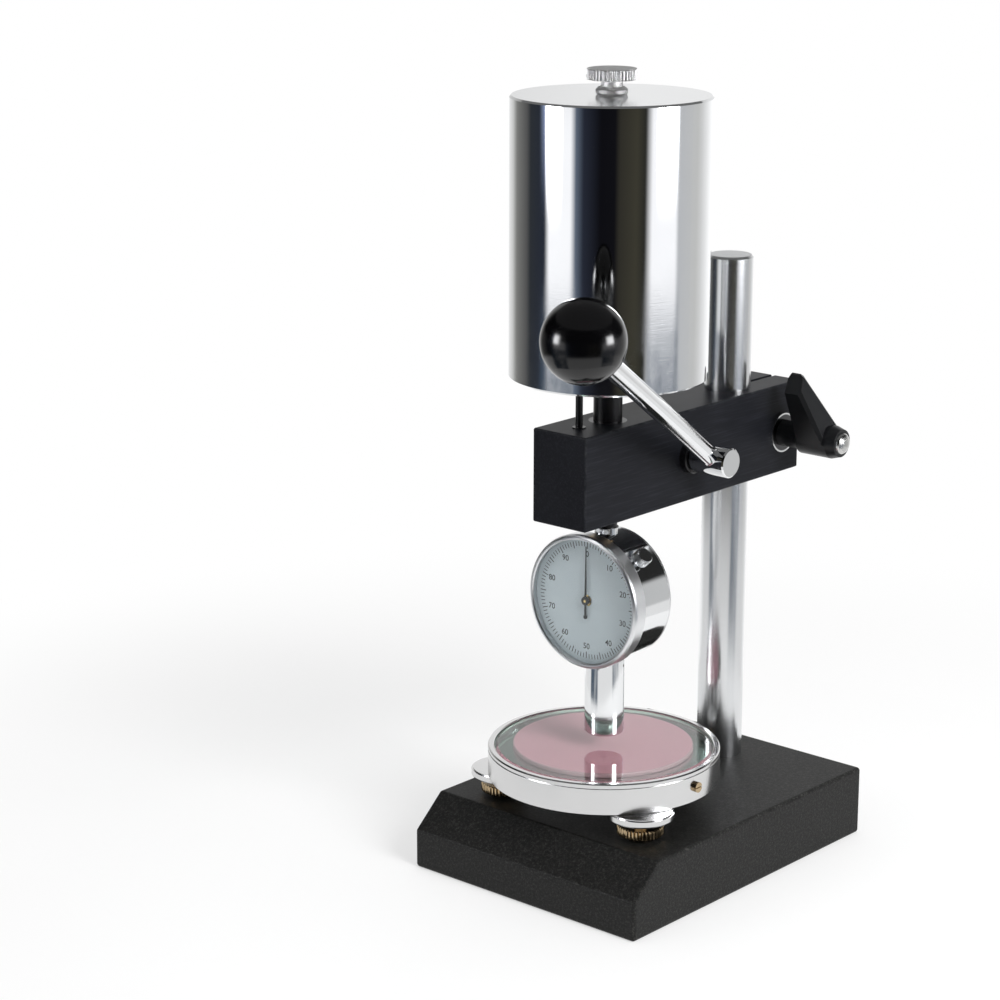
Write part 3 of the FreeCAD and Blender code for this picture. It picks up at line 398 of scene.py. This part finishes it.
def dial_ticks():
    """A hundred lines, longer at every fifth. One of each length is modelled, and the rest are copies."""
    models = {size: printed_line(*size) for size in (long_tick, short_tick)}
    ticks = []
    for i in range(tick_count):
        size = short_tick if i % 5 else long_tick
        tick = models[size].copy()
        tick.data = tick.data.copy()
        bpy.context.scene.collection.objects.link(tick)
        out = way_out(360 / tick_count * i)
        facing = Matrix((Vector((out.z, 0, -out.x)), out, Vector((0, -1, 0)))).transposed().to_4x4()
        tick.matrix_world = Matrix.Translation(dial_centre + out * (tick_circle - size[0] / 2)) @ facing
        ticks.append(tick)
    for model in models.values():
        bpy.data.objects.remove(model)
    clear_selection()
    for tick in ticks:
        tick.select_set(True)
    bpy.context.view_layer.objects.active = ticks[0]
    bpy.ops.object.join()
    settle("dial_ticks", finishes["pointer_black"], "bezel", "pointer_black")


def dial_numerals():
    """Plain numbers, 0 to 90, upright round the dial."""
    for number in range(0, 100, 10):
        clear_selection()
        place = dial_centre + way_out(3.6 * number) * numeral_circle
        bpy.ops.object.text_add(location=place, rotation=(math.pi / 2, 0, 0))
        text = bpy.context.active_object.data
        text.body = str(number)
        text.align_x, text.align_y = "CENTER", "CENTER"
        text.size, text.offset, text.extrude = numeral_height, numeral_swell, print_height / 2
        bpy.ops.object.convert(target="MESH")
        settle("dial_number_%d" % number, finishes["pointer_black"], "bezel", "pointer_black")


def specimen_pad():
    """Resilient disc under the glass, with a softly rounded edge."""
    low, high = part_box("table_pad")
    centre, radius, height = (low + high) / 2, (high.x - low.x) / 2, high.z - low.z
    edge_radius, smooth_angle = 0.5 * MM, math.radians(35)
    clear_selection()
    bpy.ops.mesh.primitive_cylinder_add(vertices=192, radius=radius, depth=height, location=centre)
    bpy.ops.object.mode_set(mode="EDIT")
    bpy.ops.mesh.select_all(action="DESELECT")
    bpy.ops.object.mode_set(mode="OBJECT")
    for face in bpy.context.active_object.data.polygons:
        face.select = abs(face.normal.z) > 0.9
    bpy.ops.object.mode_set(mode="EDIT")
    bpy.ops.mesh.bevel(offset=edge_radius, segments=4, affect="EDGES")
    bpy.ops.object.mode_set(mode="OBJECT")
    bpy.ops.object.shade_smooth_by_angle(angle=smooth_angle)
    settle("specimen_pad", finishes["pink_pad"], "table", "pink_pad", "table_pad")


# The room: floor, the round wall that the metal mirrors, lamps and camera

def floor():
    """Pale floor. It takes the tester's shadow near it, and runs out to plain white."""
    clear_selection()
    bpy.ops.mesh.primitive_plane_add(size=12)
    plane = bpy.context.active_object
    plane.name = "floor"
    r = Recipe("floor")
    r.set(Base_Color=(0.93, 0.93, 0.93), Roughness=0.8, Specular_IOR_Level=0.1)
    rays = [r.node("LightPath", outputs="Is %s Ray" % kind) for kind in ("Camera", "Glossy", "Transmission")]
    seen = (rays[0] + rays[1] + rays[2]).sum("MINIMUM", 1.0)
    away = r.reach(0, 1).rise(0.22, 0.5)
    white = r.node("Emission", {}, {"Color": (1, 1, 1), "Strength": 1.0})
    plain = Value(r, r.shader.outputs[0])
    r.surface(r.node("MixShader", {}, {0: seen * (0.5 + away * 0.5), 1: plain, 2: white}))
    plane.data.materials.append(r.material)


# What the shiny parts mirror, by direction: degrees to the right of the photograph's viewpoint, and tone
room_tones = (
    (-180, (0.90, 0.90, 0.90)), (-158, (0.62, 0.62, 0.62)), (-138, (0.50, 0.50, 0.49)),
    (-126, (0.22, 0.22, 0.21)), (-104, (0.10, 0.10, 0.10)), (-97, (0.03, 0.034, 0.04)),
    (-75, (0.02, 0.025, 0.04)), (-69, (1.10, 1.10, 1.12)), (-44, (1.10, 1.10, 1.12)),
    (-38, (0.12, 0.15, 0.20)), (-30, (0.022, 0.026, 0.04)), (-12, (0.005, 0.005, 0.007)),
    (3, (0.006, 0.006, 0.008)), (8, (0.032, 0.03, 0.024)), (26, (0.05, 0.047, 0.034)),
    (36, (0.024, 0.024, 0.021)), (44, (1.10, 1.10, 1.12)), (74, (1.10, 1.10, 1.12)),
    (79, (0.54, 0.55, 0.57)), (110, (0.59, 0.59, 0.58)), (125, (0.76, 0.76, 0.76)), (180, (0.90, 0.90, 0.90)),
)
viewpoint_way = math.radians(-51.0)
wall_radius, wall_height = 0.62, 0.66
apron_radius, apron_height = 0.25, 0.5 * MM
left_box, right_box, box_half_width = -68, 63, 16
box_middle, box_half_height, box_level = 0.32, 0.13, 16


def room_glow():
    """Tones of the mirrored room: by direction, unlit high up in front, with a bright box on each side."""
    r = Recipe("mirrored_room")
    x, y, z = r.axis(0), r.axis(1), r.axis(2)
    view_x, view_y = math.cos(viewpoint_way), math.sin(viewpoint_way)
    way = (y * view_x - x * view_y).sum("ARCTAN2", x * view_x + y * view_y) * (180 / math.pi)
    stops = [(degrees / 360 + 0.5, tone) for degrees, tone in room_tones]
    tone = r.blend(r.reach(0, 1).rise(0.60, 0.45), r.ramp(way / 360 + 0.5, *stops), (0.85, 0.85, 0.85))
    streaks = r.noise(2, 4.0, 0.8, r.stretched(1, 1, 150)).rise(0.36, 0.56)
    low_bright = way.size().band(60, 24, 0.3) * z.rise(0.16, 0.09)
    tone = r.blend(low_bright * (0.3 + streaks * 0.68), tone, (0.07, 0.10, 0.14))
    behind = way.size().rise(118, 150)
    unlit = (1 - behind) * z.rise(0.25, 0.33)
    sides = way.band(left_box, box_half_width, 0.7) + way.band(right_box, box_half_width, 0.7)
    boxes = sides * z.band(box_middle, box_half_height, 0.7)
    strength = 1 - unlit * 0.96 + boxes * box_level + behind * z.rise(0.36, 0.28) * 0.35
    glow = r.node("VectorMath", {"operation": "SCALE"}, {0: tone, "Scale": strength})
    r.set(Base_Color=(0, 0, 0), Roughness=1.0, Specular_IOR_Level=0.0)
    r.set(Emission_Color=glow, Emission_Strength=1.0)
    return r.material


def mirrored_room():
    """Round wall with a floor apron at its foot, which only the shiny parts see."""
    clear_selection()
    bpy.ops.mesh.primitive_circle_add(vertices=180, radius=apron_radius, location=(0, 0, apron_height))
    wall = bpy.context.active_object
    wall.name = "mirrored_room"
    bpy.ops.object.mode_set(mode="EDIT")
    bpy.ops.mesh.select_all(action="SELECT")
    bpy.ops.mesh.extrude_region()
    growth = wall_radius / apron_radius
    bpy.ops.transform.resize(value=(growth, growth, 1), center_override=(0, 0, 0))
    bpy.ops.mesh.extrude_region_move(TRANSFORM_OT_translate={"value": (0, 0, wall_height)})
    bpy.ops.object.mode_set(mode="OBJECT")
    wall.data.materials.append(room_glow())
    wall.visible_camera = wall.visible_diffuse = wall.visible_shadow = wall.visible_transmission = False


def white_world():
    """White all round: full strength to look at, dimmer as light, dimmest where the metal mirrors it."""
    light_level, mirrored_level = 0.36, 0.15
    world = bpy.data.worlds.new("studio")
    bpy.context.scene.world = world
    world.use_nodes = True
    tree = world.node_tree
    path = tree.nodes.new("ShaderNodeLightPath")
    seen = tree.nodes.new("ShaderNodeMath")
    seen.operation = "MAXIMUM"
    level = tree.nodes.new("ShaderNodeMapRange")
    level.inputs["To Min"].default_value = light_level
    mirrored = tree.nodes.new("ShaderNodeMix")
    mirrored.inputs[3].default_value = mirrored_level
    background = tree.nodes["Background"]
    background.inputs["Color"].default_value = (1, 1, 1, 1)
    tree.links.new(path.outputs["Is Camera Ray"], seen.inputs[0])
    tree.links.new(path.outputs["Is Transmission Ray"], seen.inputs[1])
    tree.links.new(seen.outputs[0], level.inputs["Value"])
    tree.links.new(path.outputs["Is Glossy Ray"], mirrored.inputs[0])
    tree.links.new(level.outputs["Result"], mirrored.inputs[2])
    tree.links.new(mirrored.outputs[0], background.inputs["Strength"])


def lamp(name, place, aim_height, size, power):
    """Soft round lamp, aimed at a height over the base's middle. The shiny parts don't see it."""
    light = bpy.data.lights.new(name, "AREA")
    light.shape, light.size, light.energy = "DISK", size, power
    holder = bpy.data.objects.new(name, light)
    bpy.context.scene.collection.objects.link(holder)
    holder.location = place
    holder.rotation_euler = (Vector((0, 0, aim_height)) - Vector(place)).to_track_quat("-Z", "Y").to_euler()
    holder.visible_glossy = False


def camera():
    """The photograph's viewpoint, fitted to its outlines with the tester at its real size."""
    down, turn = 14.8809, 41.7347
    data = bpy.data.cameras.new("camera")
    holder = bpy.data.objects.new("camera", data)
    bpy.context.scene.collection.objects.link(holder)
    holder.location = (0.688845, -0.876963, 0.456608)
    holder.rotation_euler = (math.radians(90 - down), 0, math.radians(turn))
    data.sensor_width, data.lens = 36, 98.1612
    data.shift_x, data.shift_y = 0.01871, -0.00673
    data.clip_start, data.clip_end = 0.05, 30
    bpy.context.scene.camera = holder


dress_nodes()
dial_ticks()
dial_numerals()
specimen_pad()
floor()
mirrored_room()
white_world()
lamp("lamp_left", (-0.75, -0.95, 0.9), 0.15, 0.7, 1)
lamp("lamp_right", (1.05, -0.2, 0.8), 0.15, 0.6, 14)
lamp("lamp_top", (-0.1, 0.1, 1.6), 0.1, 1.0, 8)
camera()
bpy.context.scene.view_settings.view_transform = "Standard"
